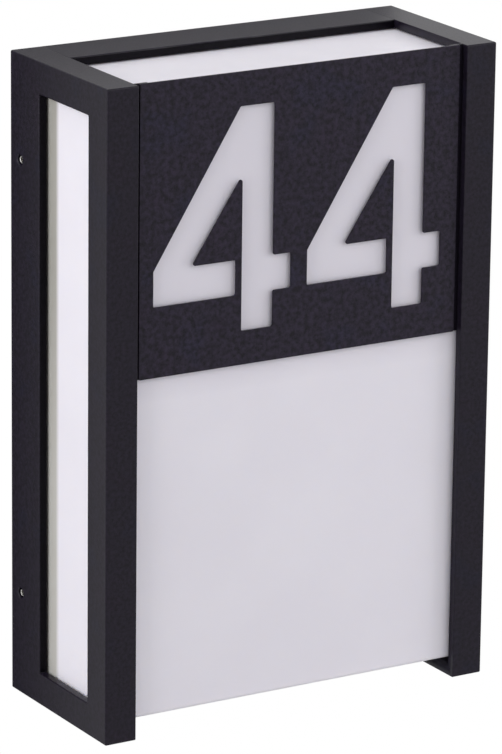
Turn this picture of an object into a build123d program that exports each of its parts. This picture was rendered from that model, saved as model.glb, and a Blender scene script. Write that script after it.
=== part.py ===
from build123d import *
import math
import os

# Illuminated house number sign: an open metal cage with an opal light box inside and a
# stencil-cut number plate across its upper front, on a tray that screws to the wall.
# Millimetres. X runs to the right and Z up as seen from the street, and -Y points at the
# viewer. The origin is the middle of the face that rests on the wall.

# ---------------------------------------------------------------- cage
frame_width = 180.0
frame_height = 270.0
frame_depth = 80.0  # wall plane to the front of the posts
wall_gap = 0.5  # the cage stops short of the wall
frame_wall = 3.5
post_width = 14.0
window_front_margin = 15.5
window_rear_margin = 24.5  # wall plane to the window's rear edge
window_end_margin = 13.5
window_corner = 0.5
crossbar_depth = 25.0  # wall plane to the crossbars' front edge
edge_radius = 0.7

# ---------------------------------------------------------------- number plate and its rails
plate_height = 120.0
plate_thickness = 1.0
plate_side_gap = 1.9
rail_thickness = 1.0
rail_post_lap = 8.0
rail_plate_lap = 4.0

# ---------------------------------------------------------------- the stencilled fours
digit_count = 2
digit_height = 92.0
digit_stroke = 14.6
digit_bar_base = 15.0  # foot of the stem to the underside of the bar
digit_stub = 8.3  # bar to the right of the stem
digit_bridge = 2.7
digit_top_lead = 1.2  # the top's left corner stands out past the stem
digit_apex_depth = 28.0  # top of the digit to the apex of its triangular island
digit_diagonal = 17.6  # diagonal stroke, measured level
digit_corner = 0.8
digit_gap = 7.5
digit_left_margin = 6.5  # plate's left edge to the first digit
digit_right_margin = 7.6  # last digit to the plate's right edge

# ---------------------------------------------------------------- opal light box and its clips
diffuser_side_gap = 0.9
diffuser_top_gap = 0.5
diffuser_bottom_gap = 4.0
diffuser_wall = 2.5
diffuser_rim = 16.0  # wall plane to the open rim
diffuser_corner = 1.5
clip_width = 12.0
clip_sheet = 1.0
clip_length = 11.0
clip_bite = 2.0  # how far a clip reaches behind the rim
clip_inset = 31.0  # post to the clips' centres
clip_screw_radius = 1.5
clip_screw_bite = 2.5
clip_head_radius = 2.8
clip_head_height = 1.6

# ---------------------------------------------------------------- wall tray, seal and cable entry
tray_plate = 2.0
tray_edge_gap = 0.5
tray_wall = 2.0
tray_depth = 29.0
seal_thickness = 0.9
seal_clearance = 0.2
seal_width = 8.0
seal_setback = 1.5  # free edge of the tray's raised wall to the seal
wall_slot_inset_x = 26.0  # tray's side edge to the slots' centres
wall_slot_inset_z = 41.0  # tray's top or bottom edge to the slots' centres
wall_slot_radius = 2.25
wall_slot_length = 9.0
entry_x = 46.0
entry_above_sill = 101.2
grommet_sleeve_radius = 10.0
grommet_flange_radius = 13.0
grommet_flange = 2.5
grommet_bore = 4.5

# ---------------------------------------------------------------- side set screws
set_screw_radius = 2.0
set_screw_clearance = 0.05
set_screw_from_wall = 8.5
set_screw_inset_z = 43.5  # top or bottom of the cage to the screws
set_screw_recess = 0.8
set_screw_lead_in = 0.4
bearing_pad = 1.2  # pad on the tray that the screw's tip bears on
bearing_pad_radius = 4.5
hex_across_flats = 2.0
hex_depth = 2.0

# ---------------------------------------------------------------- lampholder
holder_above_sill = 46.2
holder_radius = 20.0
holder_height = 46.0
holder_floor = 12.0
shell_radius = 13.25  # inside of the threaded shell
shell_wall = 1.2
shell_clearance = 0.15
shell_height = 32.0
contact_radius = 4.0
contact_foot = 1.6
contact_post_radius = 2.8
contact_post = 3.4
ferrule_wall = 0.7
ferrule_height = 7.0
ferrule_bore = 5.0
ferrule_sink = 1.0  # ferrules sit inside the holder's underside

# ---------------------------------------------------------------- screw lamp
cap_clearance = 0.1
cap_height = 24.0
cap_wall = 0.8
tip_gap = 0.2
tip_radius = 4.5
tip_height = 1.2
insulator_top_radius = 11.0
insulator_tip_radius = 5.5
insulator_height = 4.0
collar_neck_radius = 14.0
collar_height = 20.0
collar_wall = 2.0
globe_radius = 22.5
globe_wall = 1.2
globe_above_collar = 10.0  # collar's top edge to the globe's middle

# ---------------------------------------------------------------- holder bracket and its screws
bracket_sheet = 1.5
bracket_width = 32.0
bracket_leg = 26.0
bracket_lip = 20.0  # lamp axis to the shelf's front edge
bracket_bend = 2.5
bracket_lead_hole = 2.4
holder_screw_offset = 13.0
holder_screw_bite = 7.0
bracket_screw_offset = 9.0
bracket_screw_drop = 15.0
pan_screw_radius = 2.0
pan_head_radius = 3.8
pan_head_height = 2.4
driver_slot = 0.9

# ---------------------------------------------------------------- terminal block
block_x = 38.0
block_above_sill = 22.2
block_width = 20.0
block_height = 17.0
block_pitch = 10.0
block_poles = 3
block_end = 1.5
block_edge_radius = 0.8
block_wire_line = 7.0  # tray floor to the wire holes
tube_wall = 0.9
clamp_screw_radius = 1.5
clamp_screw_clearance = 0.2
clamp_screw_offset = 5.0
clamp_screw_sink = 1.5
clamp_slot = 0.5
block_screw_radius = 1.5
block_screw_sink = 6.0
block_head_radius = 2.2
block_head_height = 1.8
block_head_clearance = 0.2

# ---------------------------------------------------------------- leads and earth point
lead_radius = 1.2
lead_clearance = 0.5  # around a lead in its hole
lead_squeeze_gap = 0.05
lead_offset = 8.0  # lamp axis to each lead under the holder
lead_hole_depth = 8.0
lead_straight_length = 12.0  # terminal block to the leads' last turn
earth_x = 48.0
earth_above_sill = 60.2
earth_straight_length = 8.0
lug_radius = 4.2
lug_sheet = 0.8
lug_neck = 11.0
barrel_length = 5.0
barrel_wall = 0.7
washer_radius = 4.5
washer_height = 1.0

# ---------------------------------------------------------------- planes that the pieces share
half_width = frame_width / 2
half_height = frame_height / 2
inner_half_width = half_width - frame_wall
inner_half_height = half_height - frame_wall
post_edge = half_width - post_width
flange_back = frame_depth - frame_wall
rail_back = flange_back - rail_thickness
plate_half_width = post_edge - plate_side_gap
plate_bottom = half_height - plate_height
plate_mid_z = half_height - plate_height / 2

diffuser_half_width = inner_half_width - diffuser_side_gap
diffuser_top = inner_half_height - diffuser_top_gap
diffuser_bottom = -(inner_half_height - diffuser_bottom_gap)
diffuser_height = diffuser_top - diffuser_bottom
diffuser_mid_z = (diffuser_top + diffuser_bottom) / 2

seal_space = diffuser_wall + seal_thickness + seal_clearance
raised_half_width = diffuser_half_width - seal_space
raised_height = diffuser_height - 2 * seal_space
sill = diffuser_bottom + seal_space + tray_wall  # inside bottom of the tray's raised wall
tray_half_width = inner_half_width - tray_edge_gap
tray_half_height = inner_half_height - tray_edge_gap
wall_slot_span_x = 2 * (tray_half_width - wall_slot_inset_x)
wall_slot_span_z = 2 * (tray_half_height - wall_slot_inset_z)
set_screw_z = half_height - set_screw_inset_z

lamp_from_wall = (tray_plate + rail_back - diffuser_wall) / 2
holder_bottom = sill + holder_above_sill
holder_floor_top = holder_bottom + holder_floor
ferrule_bottom = holder_bottom + ferrule_sink
ferrule_radius = lead_radius + lead_clearance + ferrule_wall
tip_bottom = holder_floor_top + contact_foot + contact_post + tip_gap
insulator_bottom = tip_bottom + tip_height
cap_bottom = insulator_bottom + insulator_height
cap_radius = shell_radius - cap_clearance
collar_bottom = cap_bottom + cap_height
collar_top = collar_bottom + collar_height
globe_centre = collar_top + globe_above_collar
globe_seat_radius = math.sqrt(globe_radius**2 - globe_above_collar**2)

block_z = sill + block_above_sill
block_front = tray_plate + block_height
block_mouth = block_x - block_width / 2
wire_line = tray_plate + block_wire_line
tube_radius = lead_radius + lead_clearance + tube_wall
earth_pole, live_pole, neutral_pole = [block_z + block_pitch * (1 - pole) for pole in range(block_poles)]
pole_heights = [earth_pole, live_pole, neutral_pole]
earth_z = sill + earth_above_sill
entry_z = sill + entry_above_sill
lug_front = tray_plate + lug_sheet
barrel_radius = lead_radius + barrel_wall


# ---------------------------------------------------------------- planes and places
def facing_street(from_wall, x=0.0, z=0.0):
    """Plane at a distance from the wall, looking out at the street."""
    return Plane(origin=(x, -from_wall, z), x_dir=(1, 0, 0), z_dir=(0, -1, 0))


def on_lamp_axis(height):
    """Level plane with its origin on the lamp's axis."""
    return Plane(origin=(0, -lamp_from_wall, height), x_dir=(1, 0, 0), z_dir=(0, 0, 1))


def facing_middle(x, y, end, height):
    """Level plane above or below the middle of the cage, looking at the middle."""
    return Plane(origin=(x, y, end * height), x_dir=(1, 0, 0), z_dir=(0, 0, -end))


clip_x = post_edge - clip_inset
clip_y = -(diffuser_rim - clip_length / 2)
clip_places = [(x, end) for end in (-1, 1) for x in (-clip_x, clip_x)]
bracket_screw_z = holder_bottom - bracket_sheet - bracket_screw_drop
bracket_screw_places = [(-bracket_screw_offset, bracket_screw_z), (bracket_screw_offset, bracket_screw_z)]
block_screw_places = [(block_x, block_z - block_pitch / 2), (block_x, block_z + block_pitch / 2)]
clamp_columns = (block_x - clamp_screw_offset, block_x + clamp_screw_offset)
clamp_screw_places = [(x, z) for z in pole_heights for x in clamp_columns]
holder_screw_places = [(0, -holder_screw_offset), (0, holder_screw_offset)]
lead_places = [(-lead_offset, 0), (lead_offset, 0)]


def pan_screws(seats, radius, length, head_radius, head_height):
    """Slotted screws, one on each seat: the head stands on the seat and the shank goes in."""
    with BuildPart() as screws:
        with BuildSketch(*seats):
            Circle(head_radius)
        extrude(amount=head_height)
        head_tops = [seat.offset(head_height) for seat in seats]
        rims = screws.edges().filter_by(GeomType.CIRCLE)
        fillet([rims.sort_by_distance(top.origin)[0] for top in head_tops], head_height / 3)
        with BuildSketch(*head_tops):
            Rectangle(2 * head_radius, driver_slot)
        extrude(amount=-head_height / 2, mode=Mode.SUBTRACT)
        with BuildSketch(*seats):
            Circle(radius)
        extrude(amount=-length)
    return screws


def lead(name, points):
    """Insulated lead along straight runs joined by tangent arcs, as large as the runs allow."""
    route = [Vector(*point) for point in points]
    radii = []
    for before, corner, after in zip(route, route[1:], route[2:]):
        half_turn = math.radians((corner - before).get_angle(after - corner)) / 2
        shorter = min((corner - before).length, (after - corner).length)
        radii.append(0.45 * shorter / math.tan(half_turn))
    with BuildPart() as wire:
        with BuildLine() as path:
            FilletPolyline(*route, radius=radii)
        with BuildSketch(Plane(origin=path.line @ 0, z_dir=path.line % 0)):
            Circle(lead_radius)
        sweep(path=path.line)
    print(name, "bend radii", [round(radius, 1) for radius in radii])
    length = sum(edge.length for edge in path.edges())
    print(name, "volume", round(wire.part.volume, 1), "of", round(math.pi * lead_radius**2 * length, 1))
    return wire


os.makedirs("parts", exist_ok=True)

# ---------------------------------------------------------------- cage
# Each side of the cage is one piece: a side plate with a tall window, and flanges that turn
# in along the front, the top and the bottom.
for side, side_name in ((-1, "left"), (1, "right")):
    with BuildPart() as side_frame:
        with BuildSketch(facing_street(wall_gap)):
            with Locations((side * (half_width - post_width / 2), 0)):
                Rectangle(post_width, frame_height)
        extrude(amount=frame_depth - wall_gap)
        outer_face = side_frame.faces().sort_by(Axis.X)[-1 if side > 0 else 0]
        flange_edges = side_frame.edges().filter_by(Axis.X)
        fillet(flange_edges + outer_face.edges(), edge_radius)
        with BuildSketch(facing_street(wall_gap)):
            with Locations((side * (inner_half_width - (post_width - frame_wall) / 2), 0)):
                Rectangle(post_width - frame_wall, 2 * inner_half_height)
        extrude(amount=flange_back - wall_gap, mode=Mode.SUBTRACT)
        with BuildSketch(Plane.YZ.offset(side * half_width)):
            with Locations((-(window_rear_margin + frame_depth - window_front_margin) / 2, 0)):
                RectangleRounded(
                    frame_depth - window_front_margin - window_rear_margin,
                    frame_height - 2 * window_end_margin,
                    window_corner,
                )
            with Locations((-set_screw_from_wall, -set_screw_z), (-set_screw_from_wall, set_screw_z)):
                Circle(set_screw_radius + set_screw_clearance)
        extrude(amount=-side * frame_wall, mode=Mode.SUBTRACT)
        mouth_plane = side * half_width
        mouths = side_frame.edges().filter_by(GeomType.CIRCLE).filter_by_position(
            Axis.X, mouth_plane - 0.01, mouth_plane + 0.01
        )
        chamfer(mouths, set_screw_lead_in)
    side_frame.part.label = f"side_frame_{side_name}"
    export_step(side_frame.part, f"parts/side_frame_{side_name}.step")

# The crossbars join the sides at the rear, flush with the top and bottom flanges.
for end, end_name in ((-1, "bottom"), (1, "top")):
    with BuildPart() as crossbar:
        with BuildSketch(facing_street(wall_gap)):
            with Locations((0, end * (half_height - frame_wall / 2))):
                Rectangle(2 * post_edge, frame_wall)
        extrude(amount=crossbar_depth - wall_gap)
        outer_face = crossbar.faces().sort_by(Axis.Z)[-1 if end > 0 else 0]
        fillet(outer_face.edges().filter_by(Axis.X), edge_radius)
        with BuildSketch(*[facing_middle(x, clip_y, end, inner_half_height) for x in (-clip_x, clip_x)]):
            Circle(clip_screw_radius)
        extrude(amount=-clip_screw_bite, mode=Mode.SUBTRACT)
    crossbar.part.label = f"{end_name}_crossbar"
    export_step(crossbar.part, f"parts/{end_name}_crossbar.step")

# ---------------------------------------------------------------- number plate
# A stencilled 4 is one cut-out: its bar stops at a bridge beside the stem, and the bridge
# holds the triangular island. The digits share the plate's width between its margins.
plate_foot = plate_mid_z - digit_height / 2
bar_low = plate_foot + digit_bar_base
bar_high = bar_low + digit_stroke
digit_top = plate_foot + digit_height
digit_row = 2 * plate_half_width - digit_left_margin - digit_right_margin
digit_width = (digit_row - (digit_count - 1) * digit_gap) / digit_count
stem_inset = digit_width - digit_stub - digit_stroke  # left tip to the stem

with BuildPart() as number_plate:
    with BuildSketch(facing_street(flange_back)) as plate_outline:
        with Locations((0, plate_mid_z)):
            Rectangle(2 * plate_half_width, plate_height)
        for digit in range(digit_count):
            left_tip = -plate_half_width + digit_left_margin + digit * (digit_width + digit_gap)
            stem_x = left_tip + stem_inset
            stem_right = stem_x + digit_stroke
            bridge_left = stem_x - digit_bridge
            with BuildLine():
                Polyline(
                    (stem_x - digit_top_lead, digit_top),
                    (stem_right, digit_top),
                    (stem_right, bar_high),
                    (stem_right + digit_stub, bar_high),
                    (stem_right + digit_stub, bar_low),
                    (stem_right, bar_low),
                    (stem_right, plate_foot),
                    (stem_x, plate_foot),
                    (stem_x, digit_top - digit_apex_depth),
                    (left_tip + digit_diagonal, bar_high),
                    (bridge_left, bar_high),
                    (bridge_left, bar_low),
                    (left_tip, bar_low),
                    (left_tip, bar_high),
                    close=True,
                )
            make_face(mode=Mode.SUBTRACT)
        fillet(plate_outline.vertices(), digit_corner)
    extrude(amount=plate_thickness)
number_plate.part.label = "number_plate"
export_step(number_plate.part, "parts/number_plate.step")

# A strip behind each side edge of the plate is bonded to the post and to the plate. Beside the
# post it runs up to the plate's top edge.
for side, side_name in ((-1, "left"), (1, "right")):
    rail_outer = post_edge + rail_post_lap
    rail_inner = plate_half_width - rail_plate_lap
    with BuildPart() as plate_rail:
        with BuildSketch(facing_street(rail_back)):
            with Locations((side * (rail_outer + rail_inner) / 2, (plate_bottom + inner_half_height) / 2)):
                Rectangle(rail_outer - rail_inner, inner_half_height - plate_bottom)
            with Locations((side * (post_edge + rail_inner) / 2, plate_mid_z)):
                Rectangle(post_edge - rail_inner, plate_height)
        extrude(amount=rail_thickness)
    plate_rail.part.label = f"plate_rail_{side_name}"
    export_step(plate_rail.part, f"parts/plate_rail_{side_name}.step")

# ---------------------------------------------------------------- opal light box
# Five-sided box, open towards the wall. Its front rests against the plate's strips.
with BuildPart() as diffuser:
    with BuildSketch(facing_street(diffuser_rim, z=diffuser_mid_z)):
        RectangleRounded(2 * diffuser_half_width, diffuser_height, diffuser_corner)
    extrude(amount=rail_back - diffuser_rim)
    fillet(diffuser.faces().sort_by(Axis.Y)[0].edges(), diffuser_corner * 0.9)
    with BuildSketch(facing_street(diffuser_rim, z=diffuser_mid_z)):
        Rectangle(2 * (diffuser_half_width - diffuser_wall), diffuser_height - 2 * diffuser_wall)
    extrude(amount=rail_back - diffuser_rim - diffuser_wall, mode=Mode.SUBTRACT)
diffuser.part.label = "diffuser"
export_step(diffuser.part, "parts/diffuser.step")

# Four angles under the crossbars stop the light box from sliding back out.
with BuildPart() as diffuser_clips:
    for x, end in clip_places:
        clip_foot = (diffuser_top if end > 0 else -diffuser_bottom) - clip_bite
        with BuildSketch(Plane.YZ.offset(x - clip_width / 2)):
            with BuildLine():
                Polyline(
                    (-diffuser_rim, end * inner_half_height),
                    (-diffuser_rim, end * clip_foot),
                    (-diffuser_rim + clip_sheet, end * clip_foot),
                    (-diffuser_rim + clip_sheet, end * (inner_half_height - clip_sheet)),
                    (-diffuser_rim + clip_length, end * (inner_half_height - clip_sheet)),
                    (-diffuser_rim + clip_length, end * inner_half_height),
                    close=True,
                )
            make_face()
        extrude(amount=clip_width)
    with BuildSketch(*[facing_middle(x, clip_y, end, inner_half_height) for x, end in clip_places]):
        Circle(clip_screw_radius)
    extrude(amount=clip_sheet, mode=Mode.SUBTRACT)
diffuser_clips.part.label = "diffuser_clips"
export_step(diffuser_clips.part, "parts/diffuser_clips.step")

clip_seats = [facing_middle(x, clip_y, end, inner_half_height - clip_sheet) for x, end in clip_places]
clip_screws = pan_screws(
    clip_seats, clip_screw_radius, clip_sheet + clip_screw_bite, clip_head_radius, clip_head_height
)
clip_screws.part.label = "clip_screws"
export_step(clip_screws.part, "parts/clip_screws.step")

# ---------------------------------------------------------------- wall tray
# Back plate with a raised wall around the lamp, pads for the side screws, wall slots, the
# cable hole and the screws' holes.
with BuildPart() as base_tray:
    with BuildSketch(facing_street(0)):
        Rectangle(2 * tray_half_width, 2 * tray_half_height)
    extrude(amount=tray_plate)
    with BuildSketch(facing_street(tray_plate, z=diffuser_mid_z)):
        Rectangle(2 * raised_half_width, raised_height)
        Rectangle(2 * (raised_half_width - tray_wall), raised_height - 2 * tray_wall, mode=Mode.SUBTRACT)
    extrude(amount=tray_depth - tray_plate)
    for side in (-1, 1):
        with BuildSketch(Plane.YZ.offset(side * raised_half_width)):
            with Locations((-set_screw_from_wall, -set_screw_z), (-set_screw_from_wall, set_screw_z)):
                Circle(bearing_pad_radius)
        extrude(amount=side * bearing_pad)
    with BuildSketch(facing_street(0)):
        with GridLocations(wall_slot_span_x, wall_slot_span_z, 2, 2):
            SlotOverall(wall_slot_length, 2 * wall_slot_radius)
        with Locations((entry_x, entry_z)):
            Circle(grommet_sleeve_radius)
        with Locations(*bracket_screw_places, (earth_x, earth_z)):
            Circle(pan_screw_radius)
        with Locations(*block_screw_places):
            Circle(block_screw_radius)
    extrude(amount=tray_plate, mode=Mode.SUBTRACT)
base_tray.part.label = "base_tray"
export_step(base_tray.part, "parts/base_tray.step")

# Rubber band around the tray's raised wall, inside the light box's rim.
with BuildPart() as diffuser_seal:
    with BuildSketch(facing_street(tray_depth - seal_setback - seal_width, z=diffuser_mid_z)):
        Rectangle(2 * (raised_half_width + seal_thickness), raised_height + 2 * seal_thickness)
        Rectangle(2 * raised_half_width, raised_height, mode=Mode.SUBTRACT)
    extrude(amount=seal_width)
diffuser_seal.part.label = "diffuser_seal"
export_step(diffuser_seal.part, "parts/diffuser_seal.step")

# Push-in rubber ring in the cable hole, flush with the tray's back.
with BuildPart() as cable_grommet:
    with BuildSketch(facing_street(0, entry_x, entry_z)):
        Circle(grommet_sleeve_radius)
    extrude(amount=tray_plate)
    with BuildSketch(facing_street(tray_plate, entry_x, entry_z)):
        Circle(grommet_flange_radius)
    extrude(amount=grommet_flange)
    fillet(cable_grommet.edges().filter_by(GeomType.CIRCLE).sort_by(Axis.Y)[0], grommet_flange / 3)
    with BuildSketch(facing_street(0, entry_x, entry_z)):
        Circle(grommet_bore)
    extrude(amount=tray_plate + grommet_flange, mode=Mode.SUBTRACT)
cable_grommet.part.label = "cable_grommet"
export_step(cable_grommet.part, "parts/cable_grommet.step")

# ---------------------------------------------------------------- side set screws
# Grub screws through the side plates. Their flat tips bear on the tray's pads.
for side, side_name in ((-1, "left"), (1, "right")):
    for end, end_name in ((-1, "lower"), (1, "upper")):
        head_x = side * (half_width - set_screw_recess)
        screw_top = (head_x, -set_screw_from_wall, end * set_screw_z)
        mouth = Plane(origin=screw_top, x_dir=(0, 1, 0), z_dir=(side, 0, 0))
        with BuildPart() as set_screw:
            with BuildSketch(mouth):
                Circle(set_screw_radius)
            extrude(amount=-(half_width - set_screw_recess - raised_half_width - bearing_pad))
            with BuildSketch(mouth):
                RegularPolygon(hex_across_flats / 2, 6, major_radius=False)
            extrude(amount=-hex_depth, mode=Mode.SUBTRACT)
        set_screw.part.label = f"set_screw_{side_name}_{end_name}"
        export_step(set_screw.part, f"parts/set_screw_{side_name}_{end_name}.step")

# ---------------------------------------------------------------- lampholder
# Porcelain cup with holes in its underside for the screws and the leads' ferrules.
with BuildPart() as holder_body:
    with BuildSketch(on_lamp_axis(holder_bottom)):
        Circle(holder_radius)
    extrude(amount=holder_height)
    cup_radius = shell_radius + shell_wall + shell_clearance
    fillet(holder_body.edges().sort_by(Axis.Z)[-1], (holder_radius - cup_radius) / 3)
    with BuildSketch(on_lamp_axis(holder_floor_top)):
        Circle(cup_radius)
    extrude(amount=holder_height - holder_floor, mode=Mode.SUBTRACT)
    with BuildSketch(on_lamp_axis(holder_bottom)):
        with Locations(*holder_screw_places):
            Circle(pan_screw_radius)
    extrude(amount=holder_screw_bite, mode=Mode.SUBTRACT)
    with BuildSketch(on_lamp_axis(holder_bottom)):
        with Locations(*lead_places):
            Circle(ferrule_radius)
    extrude(amount=ferrule_sink + ferrule_height, mode=Mode.SUBTRACT)
holder_body.part.label = "holder_body"
export_step(holder_body.part, "parts/holder_body.step")

# The threaded shell is a plain tube here.
with BuildPart() as holder_shell:
    with BuildSketch(on_lamp_axis(holder_floor_top)):
        Circle(shell_radius + shell_wall)
        Circle(shell_radius, mode=Mode.SUBTRACT)
    extrude(amount=shell_height)
holder_shell.part.label = "holder_shell"
export_step(holder_shell.part, "parts/holder_shell.step")

with BuildPart() as holder_contact:
    with BuildSketch(on_lamp_axis(holder_floor_top)):
        Circle(contact_radius)
    extrude(amount=contact_foot)
    with BuildSketch(on_lamp_axis(holder_floor_top + contact_foot)):
        Circle(contact_post_radius)
    extrude(amount=contact_post)
    fillet(holder_contact.edges().filter_by(GeomType.CIRCLE).sort_by(Axis.Z)[-1], contact_post / 5)
holder_contact.part.label = "holder_contact"
export_step(holder_contact.part, "parts/holder_contact.step")

with BuildPart() as holder_ferrules:
    with BuildSketch(on_lamp_axis(ferrule_bottom)):
        with Locations(*lead_places):
            Circle(ferrule_radius)
    extrude(amount=ferrule_height)
    with BuildSketch(on_lamp_axis(ferrule_bottom)):
        with Locations(*lead_places):
            Circle(lead_radius + lead_clearance)
    extrude(amount=ferrule_bore, mode=Mode.SUBTRACT)
holder_ferrules.part.label = "holder_ferrules"
export_step(holder_ferrules.part, "parts/holder_ferrules.step")

# Steel angle: the shelf carries the lampholder and the leg is screwed to the tray.
with BuildPart() as holder_bracket:
    with BuildSketch(Plane.YZ.offset(-bracket_width / 2)):
        with BuildLine():
            Polyline(
                (-tray_plate, holder_bottom - bracket_leg),
                (-tray_plate, holder_bottom),
                (-lamp_from_wall - bracket_lip, holder_bottom),
                (-lamp_from_wall - bracket_lip, holder_bottom - bracket_sheet),
                (-tray_plate - bracket_sheet, holder_bottom - bracket_sheet),
                (-tray_plate - bracket_sheet, holder_bottom - bracket_leg),
                close=True,
            )
        make_face()
    extrude(amount=bracket_width)
    long_edges = holder_bracket.edges().filter_by(Axis.X)
    fillet(long_edges.sort_by(Axis((0, 0, 0), (0, 1, 1)))[-1], bracket_bend)
    fillet(holder_bracket.faces().sort_by(Axis.Y)[0].edges().filter_by(Axis.Z), bracket_bend)
    with BuildSketch(on_lamp_axis(holder_bottom)):
        with Locations(*holder_screw_places):
            Circle(pan_screw_radius)
        with Locations(*lead_places):
            Circle(bracket_lead_hole)
    extrude(amount=-bracket_sheet, mode=Mode.SUBTRACT)
    with BuildSketch(facing_street(tray_plate)):
        with Locations(*bracket_screw_places):
            Circle(pan_screw_radius)
    extrude(amount=bracket_sheet, mode=Mode.SUBTRACT)
holder_bracket.part.label = "holder_bracket"
export_step(holder_bracket.part, "parts/holder_bracket.step")

under_shelf = on_lamp_axis(holder_bottom - bracket_sheet)
holder_seats = [
    Plane(origin=under_shelf.from_local_coords(Vector(x, y, 0)), x_dir=(1, 0, 0), z_dir=(0, 0, -1))
    for x, y in holder_screw_places
]
holder_screws = pan_screws(
    holder_seats, pan_screw_radius, bracket_sheet + holder_screw_bite, pan_head_radius, pan_head_height
)
holder_screws.part.label = "holder_screws"
export_step(holder_screws.part, "parts/holder_screws.step")

bracket_seats = [facing_street(tray_plate + bracket_sheet, x, z) for x, z in bracket_screw_places]
bracket_screws = pan_screws(
    bracket_seats, pan_screw_radius, bracket_sheet + tray_plate, pan_head_radius, pan_head_height
)
bracket_screws.part.label = "bracket_screws"
export_step(bracket_screws.part, "parts/bracket_screws.step")

# ---------------------------------------------------------------- screw lamp
# The screw cap is a thin cup, plain where its thread is.
with BuildPart() as lamp_cap:
    with BuildSketch(on_lamp_axis(cap_bottom)):
        Circle(cap_radius)
    extrude(amount=cap_height)
    cap_shoulder = 0.9 * (cap_radius - insulator_top_radius)
    fillet(lamp_cap.edges().filter_by(GeomType.CIRCLE).sort_by(Axis.Z)[0], cap_shoulder)
    with BuildSketch(on_lamp_axis(cap_bottom + cap_wall)):
        Circle(cap_radius - 2 * cap_wall)
    extrude(amount=cap_height - cap_wall, mode=Mode.SUBTRACT)
lamp_cap.part.label = "lamp_cap"
export_step(lamp_cap.part, "parts/lamp_cap.step")

with BuildPart() as lamp_insulator:
    with BuildSketch(on_lamp_axis(insulator_bottom)):
        Circle(insulator_tip_radius)
    with BuildSketch(on_lamp_axis(cap_bottom)):
        Circle(insulator_top_radius)
    loft()
lamp_insulator.part.label = "lamp_insulator"
export_step(lamp_insulator.part, "parts/lamp_insulator.step")

with BuildPart() as lamp_contact:
    with BuildSketch(on_lamp_axis(tip_bottom)):
        Circle(tip_radius)
    extrude(amount=tip_height)
    fillet(lamp_contact.edges().filter_by(GeomType.CIRCLE).sort_by(Axis.Z)[0], tip_height / 2)
lamp_contact.part.label = "lamp_contact"
export_step(lamp_contact.part, "parts/lamp_contact.step")

# The collar flares from the cap to the globe and meets it in one smooth line.
with BuildPart() as lamp_collar:
    with BuildSketch(Plane(origin=(0, -lamp_from_wall, 0), x_dir=(1, 0, 0), z_dir=(0, -1, 0))):
        with BuildLine():
            flare = Spline(
                (collar_neck_radius, collar_bottom),
                (globe_seat_radius, collar_top),
                tangents=((0.1, 1), (globe_above_collar, globe_seat_radius)),
            )
            Polyline(flare @ 1, (0, collar_top), (0, collar_bottom), flare @ 0)
        make_face()
    revolve(axis=Axis((0, -lamp_from_wall, 0), (0, 0, 1)))
    with BuildSketch(on_lamp_axis(collar_top)):
        Circle(globe_seat_radius - collar_wall)
    extrude(amount=-collar_wall, mode=Mode.SUBTRACT)
lamp_collar.part.label = "lamp_collar"
export_step(lamp_collar.part, "parts/lamp_collar.step")

with BuildPart() as lamp_globe:
    with Locations((0, -lamp_from_wall, globe_centre)):
        Sphere(globe_radius)
        Sphere(globe_radius - globe_wall, mode=Mode.SUBTRACT)
    split(bisect_by=on_lamp_axis(collar_top), keep=Keep.TOP)
lamp_globe.part.label = "lamp_globe"
export_step(lamp_globe.part, "parts/lamp_globe.step")

# ---------------------------------------------------------------- terminal block
# Three poles, with wire holes from side to side and screw holes from the front.
with BuildPart() as terminal_block:
    with BuildSketch(facing_street(tray_plate, block_x, block_z)):
        Rectangle(block_width, block_poles * block_pitch + 2 * block_end)
    extrude(amount=block_height)
    fillet(terminal_block.faces().sort_by(Axis.Y)[0].edges(), block_edge_radius)
    with BuildSketch(Plane.YZ.offset(block_mouth)):
        with Locations(*[(-wire_line, z) for z in pole_heights]):
            Circle(tube_radius)
    extrude(amount=block_width, mode=Mode.SUBTRACT)
    with BuildSketch(facing_street(block_front)):
        with Locations(*clamp_screw_places):
            Circle(clamp_screw_radius + clamp_screw_clearance)
    extrude(amount=wire_line - block_front, mode=Mode.SUBTRACT)
    with BuildSketch(facing_street(tray_plate)):
        with Locations(*block_screw_places):
            Circle(block_screw_radius)
    extrude(amount=block_height, mode=Mode.SUBTRACT)
    with BuildSketch(facing_street(block_front)):
        with Locations(*block_screw_places):
            Circle(block_head_radius + block_head_clearance)
    extrude(amount=-block_screw_sink, mode=Mode.SUBTRACT)
terminal_block.part.label = "terminal_block"
export_step(terminal_block.part, "parts/terminal_block.step")

# A brass tube in each pole, tapped for its two clamp screws.
with BuildPart() as terminal_tubes:
    with BuildSketch(Plane.YZ.offset(block_mouth + block_end)):
        with Locations(*[(-wire_line, z) for z in pole_heights]):
            Circle(tube_radius)
            Circle(lead_radius + lead_clearance, mode=Mode.SUBTRACT)
    extrude(amount=block_width - 2 * block_end)
    with BuildSketch(facing_street(wire_line)):
        with Locations(*clamp_screw_places):
            Circle(clamp_screw_radius)
    extrude(amount=tube_radius, mode=Mode.SUBTRACT)
terminal_tubes.part.label = "terminal_tubes"
export_step(terminal_tubes.part, "parts/terminal_tubes.step")

clamp_tip = wire_line + lead_radius + lead_squeeze_gap
clamp_head = block_front - clamp_screw_sink
with BuildPart() as terminal_screws:
    with BuildSketch(facing_street(clamp_tip)):
        with Locations(*clamp_screw_places):
            Circle(clamp_screw_radius)
    extrude(amount=clamp_head - clamp_tip)
    with BuildSketch(facing_street(clamp_head)):
        with Locations(*clamp_screw_places):
            Rectangle(2 * clamp_screw_radius, clamp_slot)
    extrude(amount=-clamp_screw_radius, mode=Mode.SUBTRACT)
terminal_screws.part.label = "terminal_screws"
export_step(terminal_screws.part, "parts/terminal_screws.step")

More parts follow.
